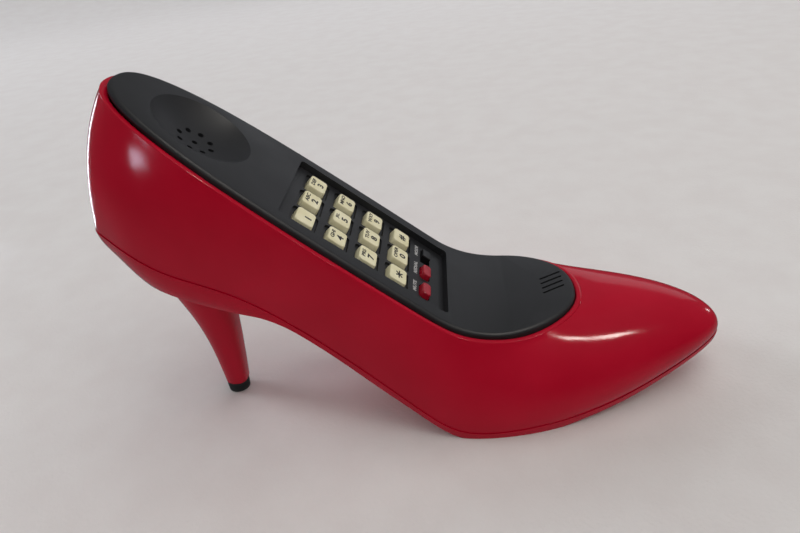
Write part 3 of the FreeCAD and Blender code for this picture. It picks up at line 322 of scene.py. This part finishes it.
# %% [markdown]
# ## Legends
# Black digits and letters are printed on the keys, and white words on the recess floor. Text is set flat,
# turned into a mesh, scaled to a measured cap height and laid on its face, reading across the shoe with
# its top towards the heel. The font's star has contours that overlap and leave holes, so the star is drawn
# out of a hexagon.

# %% Printing inks
PRINT_MM = 0.6
INK_GLOSS = (0.45, 0.6)
INK_GRAIN_DEPTH_MM = 0.004
INK_TONES = {
    "black_printing_ink": ("#121214", "#262526"),
    "white_printing_ink": ("#c4c4c2", "#a2a2a0"),
}
for name, tones in INK_TONES.items():
    finishes[name] = finish(name, tones, PRINT_MM, INK_GLOSS, PRINT_MM, INK_GRAIN_DEPTH_MM)[0]
print("made", ", ".join(INK_TONES))

# %% Type and star
INK_SPREAD = 0.035
CURVE_STEPS = 4
TYPE_THICK = 1.0
TYPE_WELD = 1e-5
STAR = "*"
STAR_ARMS = 6
STAR_CORE = 0.16
STAR_REACH = 0.36


def set_in_type(words):
    """Flat letters as a bmesh, one unit thick."""
    text = bpy.data.curves.new("type", "FONT")
    text.body = words
    text.resolution_u = CURVE_STEPS
    text.offset = INK_SPREAD
    text.extrude = TYPE_THICK / 2
    holder = bpy.data.objects.new("type", text)
    scene.collection.objects.link(holder)
    bpy.context.view_layer.update()
    drawn = holder.evaluated_get(bpy.context.evaluated_depsgraph_get())
    mesh = bpy.data.meshes.new_from_object(drawn)
    bpy.data.objects.remove(holder)
    work = bmesh.new()
    work.from_mesh(mesh)
    bpy.data.meshes.remove(mesh)
    bmesh.ops.remove_doubles(work, verts=work.verts, dist=TYPE_WELD)
    return work


def star_sign():
    """Star as a bmesh: a hexagon whose edges are drawn out into arms, one unit thick."""
    work = bmesh.new()
    bmesh.ops.create_circle(work, cap_ends=True, segments=STAR_ARMS, radius=STAR_CORE)
    for edge in list(work.edges):
        made = bmesh.ops.extrude_edge_only(work, edges=[edge])["geom"]
        tips = [g for g in made if isinstance(g, bmesh.types.BMVert)]
        bmesh.ops.translate(work, verts=tips, vec=(tips[0].co + tips[1].co).normalized() * STAR_REACH)
    made = bmesh.ops.extrude_face_region(work, geom=list(work.faces), use_keep_orig=True)["geom"]
    top = [g for g in made if isinstance(g, bmesh.types.BMVert)]
    bmesh.ops.translate(work, verts=top, vec=(0, 0, TYPE_THICK))
    bmesh.ops.translate(work, verts=work.verts, vec=(0, 0, -TYPE_THICK / 2))
    bmesh.ops.recalc_face_normals(work, faces=work.faces)
    return work


print("star of", STAR_ARMS, "arms, drawn out of a core of radius", STAR_CORE)

# %% Print laid on the plate
PLATE_SLOPE = math.radians(40.7)
PLATE_REF = Vector((-36.65, 0, 88.9)) * MM
DOWN = Vector((math.cos(PLATE_SLOPE), 0, -math.sin(PLATE_SLOPE)))
OUT = Vector((math.sin(PLATE_SLOPE), 0, math.cos(PLATE_SLOPE)))
ACROSS = Vector((0, 1, 0))
INK_MM = 0.03


def lettering(name, words, height_mm, place, ink, body, widen):
    """Flat print of some words, centred on place = (s, y, n) in plate axes, in millimetres."""
    work = star_sign() if words == STAR else set_in_type(words)
    low, high = [Vector([pick(v.co[i] for v in work.verts) for i in range(3)]) for pick in (min, max)]
    scale = height_mm * MM / (high.y - low.y)
    bmesh.ops.translate(work, verts=work.verts, vec=-(low + high) / 2)
    bmesh.ops.scale(work, verts=work.verts, vec=(scale * widen, scale, INK_MM * MM))
    s, y, n = [c * MM for c in place]
    at = PLATE_REF + DOWN * s + ACROSS * y + OUT * (n + INK_MM * MM / 2)
    turn = Matrix((ACROSS, -DOWN, OUT)).transposed().to_4x4()
    bmesh.ops.transform(work, verts=work.verts, matrix=Matrix.Translation(at) @ turn)
    mesh = bpy.data.meshes.new(name)
    work.to_mesh(mesh)
    work.free()
    mesh.materials.append(ink)
    piece = bpy.data.objects.new(name, mesh)
    scene.collection.objects.link(piece)
    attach(piece, body)


print("plate axes: down", [round(c, 3) for c in DOWN], "out", [round(c, 3) for c in OUT])

# %% Key legends
KEY_COLUMNS = 3
KEY_PITCH_S = 13.15
KEY_PITCH_Y = 14.4
KEY_TOP_S = 7.2
KEY_TOP_N = -1.0
DIGIT_MM = 2.7
SIGN_MM = 3.0
DIGIT_WIDEN = 1.5
LETTER_MM = 1.6
LETTER_WIDEN = 1.5
DIGIT_SHIFT = (1.0, -0.3)
SIGN_SHIFT = (0.3, -0.2)
LETTER_SHIFT = (-2.0, 0.0)
SIGN_NAMES = {STAR: "star", "#": "hash"}
KEYS = [("1", ""), ("2", "ABC"), ("3", "DEF"), ("4", "GHI"), ("5", "JKL"), ("6", "MNO"), ("7", "PRS"),
        ("8", "TUV"), ("9", "WXY"), (STAR, ""), ("0", "OPER"), ("#", "")]
ink = finishes["black_printing_ink"]
for k, (digit, letters) in enumerate(KEYS):
    row, column = divmod(k, KEY_COLUMNS)
    s = KEY_TOP_S / 2 + row * KEY_PITCH_S
    y = (column - KEY_COLUMNS // 2) * KEY_PITCH_Y
    key = "key_" + SIGN_NAMES.get(digit, digit)
    body = body_of_node(key)
    tall, shift = (SIGN_MM, SIGN_SHIFT) if digit in SIGN_NAMES else (DIGIT_MM, DIGIT_SHIFT)
    place = (s + shift[0], y + shift[1], KEY_TOP_N)
    lettering(key + "_digit", digit, tall, place, ink, body, DIGIT_WIDEN)
    if letters:
        place = (s + LETTER_SHIFT[0], y + LETTER_SHIFT[1], KEY_TOP_N)
        lettering(key + "_letters", letters, LETTER_MM, place, ink, body, LETTER_WIDEN)
print("legends on", len(KEYS), "keys")

# %% Function words
FUNCTION_WORDS = {"MODE": 14.8, "REDIAL": 1.4, "MUTE": -12.2}
FUNCTION_WORD_S = 51.4
FUNCTION_WORD_MM = 1.55
FUNCTION_WORD_WIDEN = 1.35
RECESS_FLOOR_N = -2.7
for word, y in FUNCTION_WORDS.items():
    lettering("word_" + word.lower(), word, FUNCTION_WORD_MM, (FUNCTION_WORD_S, y, RECESS_FLOOR_N),
              finishes["white_printing_ink"], "housing", FUNCTION_WORD_WIDEN)
print("words:", ", ".join(FUNCTION_WORDS))

# %% [markdown]
# ## Floor and light
# The shoe stands on a plain off-white cloth, matt, with a soft grain in place of its threads. The floor is a
# disc whose rim is extruded outwards and upwards in steps, like a shallow bowl, so that it closes the view
# behind the shoe from every side.

# %% Cloth
CLOTH = "#e2dfdc"
CLOTH_SHADE = "#dfdbd8"
CLOTH_GLOSS = (0.9, 1.0)
CLOTH_SPECULAR = 0.1
CLOTH_MM = 24.0
THREAD_MM = 1.6
THREAD_DEPTH_MM = 0.22

cloth, shader = finish("off_white_cloth", (CLOTH, CLOTH_SHADE), CLOTH_MM, CLOTH_GLOSS, THREAD_MM,
                       THREAD_DEPTH_MM)
shader.inputs["Specular IOR Level"].default_value = CLOTH_SPECULAR
print("made", cloth.name)

# %% Floor
FLOOR_RADIUS = 1.5
FLOOR_SIDES = 96
RISE_RADIUS = 0.85
RISE_TURN = 85
RISE_STEPS = 14

work = bmesh.new()
bmesh.ops.create_circle(work, cap_ends=True, segments=FLOOR_SIDES, radius=FLOOR_RADIUS)
edges = list(work.edges)
wide, high = FLOOR_RADIUS, 0.0
for k in range(1, RISE_STEPS + 1):
    turn = math.radians(RISE_TURN * k / RISE_STEPS)
    wider = FLOOR_RADIUS + RISE_RADIUS * math.sin(turn)
    higher = RISE_RADIUS * (1 - math.cos(turn))
    made = bmesh.ops.extrude_edge_only(work, edges=edges)["geom"]
    verts = [g for g in made if isinstance(g, bmesh.types.BMVert)]
    edges = [g for g in made if isinstance(g, bmesh.types.BMEdge) and g.is_boundary]
    bmesh.ops.scale(work, verts=verts, vec=(wider / wide, wider / wide, 1))
    bmesh.ops.translate(work, verts=verts, vec=(0, 0, higher - high))
    wide, high = wider, higher
floor_mesh = bpy.data.meshes.new("floor")
work.to_mesh(floor_mesh)
work.free()
floor_mesh.shade_smooth()
floor_mesh.materials.append(cloth)
floor = bpy.data.objects.new("floor", floor_mesh)
scene.collection.objects.link(floor)
print("floor", round(2 * wide, 2), "m across, its rim", round(high, 2), "m high")

# %% [markdown]
# The world is brighter above and dim near the floor line, so the gloss keeps a deep red on the upright sides
# and takes soft reflections on top. The floor is hidden from the gloss, because one this wide would turn the
# red milky, and a weaker glow from below stands for it. Past the floor the camera sees a plain pale backdrop.

# %% Room light
ROOM_LOW = 0.06
ROOM_HIGH = 0.24
ROOM_RISE = (-0.1, 0.7)
CLOTH_GLOW = 0.22
CLOTH_FALL = (-0.2, -0.6)
BACKDROP = 0.62
ROOM_COLOUR = "#eef1f6"
# Places of the sockets on a Mix node that mixes numbers
NUMBER_FIRST = 2
NUMBER_SECOND = 3
NUMBER_RESULT = 0

floor.visible_glossy = False
world = bpy.data.worlds.new("room")
scene.world = world
world.use_nodes = True
tree = world.node_tree
heading = add(tree, "ShaderNodeTexCoord").outputs["Generated"]
rise_part = add(tree, "ShaderNodeSeparateXYZ", {}, {"Vector": heading}).outputs["Z"]
strength = add(tree, "ShaderNodeMapRange", {}, {
    "Value": rise_part, "From Min": ROOM_RISE[0], "From Max": ROOM_RISE[1],
    "To Min": ROOM_LOW, "To Max": ROOM_HIGH})
cloth_part = add(tree, "ShaderNodeMapRange", {}, {
    "Value": rise_part, "From Min": CLOTH_FALL[0], "From Max": CLOTH_FALL[1],
    "To Min": 0.0, "To Max": CLOTH_GLOW})
both = add(tree, "ShaderNodeMath", {"operation": "ADD"}, {
    0: strength.outputs["Result"], 1: cloth_part.outputs["Result"]})
seen = add(tree, "ShaderNodeLightPath").outputs["Is Camera Ray"]
backdrop = add(tree, "ShaderNodeMix", {"data_type": "FLOAT"}, {
    MIX_SHARE: seen, NUMBER_FIRST: both.outputs["Value"], NUMBER_SECOND: BACKDROP})
tree.links.new(backdrop.outputs[NUMBER_RESULT], tree.nodes["Background"].inputs["Strength"])
tree.nodes["Background"].inputs["Color"].default_value = linear(ROOM_COLOUR)
print("room strength from", ROOM_LOW, "low down to", ROOM_HIGH, "above")

# %% [markdown]
# Two sorts of panel light the shoe. The large soft ones only light, because their reflections would lie as
# pale patches on the red. The small ones only show in the gloss, and give the sharp highlights of a polished
# moulding without a second set of shadows. No panel is seen by the camera.


# %% Light panels
def panel(name, at, aim, size, watts, colour, lights, shows):
    """Area light at a point, turned to another; it may only light, or only show in the gloss."""
    light = bpy.data.lights.new(name, "AREA")
    light.shape = "RECTANGLE"
    light.size, light.size_y = size
    light.energy = watts
    light.color = linear(colour)[:3]
    holder = bpy.data.objects.new(name, light)
    scene.collection.objects.link(holder)
    at, aim = Vector(at), Vector(aim)
    holder.matrix_world = Matrix.Translation(at) @ (at - aim).to_track_quat("Z", "Y").to_matrix().to_4x4()
    holder.visible_camera = False
    holder.visible_diffuse = lights
    holder.visible_glossy = shows


SOFT_LIGHTS = {
    # name: place and aim in metres, width and height, watts, colour
    "window_back": ((0.1, 1.5, 0.85), (0, 0, 0.03), (2.2, 0.8), 8.0, "#f6f8ff"),
    "window_left": ((-1.9, 0.6, 0.7), (0, 0, 0.05), (0.8, 1.4), 18.0, "#f4f8ff"),
    "room_front": ((1.0, -1.0, 1.2), (0.05, 0, 0.03), (1.6, 1.2), 5.5, "#fff8f2"),
    "ceiling": ((0.5, 0.0, 1.6), (0, 0, 0.03), (1.6, 1.4), 10.5, "#fffaf6"),
}
GLOSS_LIGHTS = {
    "window_side": ((-1.25, -0.85, 0.12), (-0.1, 0, 0.10), (0.22, 0.18), 2.0, "#dfe8ff"),
    "window_far": ((0.6, 1.5, 0.5), (0, 0, 0.04), (1.6, 0.6), 1.6, "#f6f8ff"),
    "lamp_above": ((0.47, -0.33, 1.19), (0.05, 0, 0.04), (0.12, 0.12), 4.5, "#fffaf2"),
    "room_right": ((1.1, -0.6, 1.15), (0.05, 0, 0.05), (0.10, 0.16), 2.4, "#fff6ee"),
    "card_heel": ((-0.318, 0.163, 0.07), (-0.105, -0.011, 0.11), (0.035, 0.15), 0.12, "#eef2ff"),
    "card_toe": ((0.52, 0.28, 0.05), (0.115, 0, 0.025), (0.03, 0.03), 0.05, "#ffffff"),
}
for name, settings in SOFT_LIGHTS.items():
    panel(name, *settings, lights=True, shows=False)
for name, settings in GLOSS_LIGHTS.items():
    panel(name, *settings, lights=False, shows=True)
print("soft lights:", len(SOFT_LIGHTS), "gloss lights:", len(GLOSS_LIGHTS))
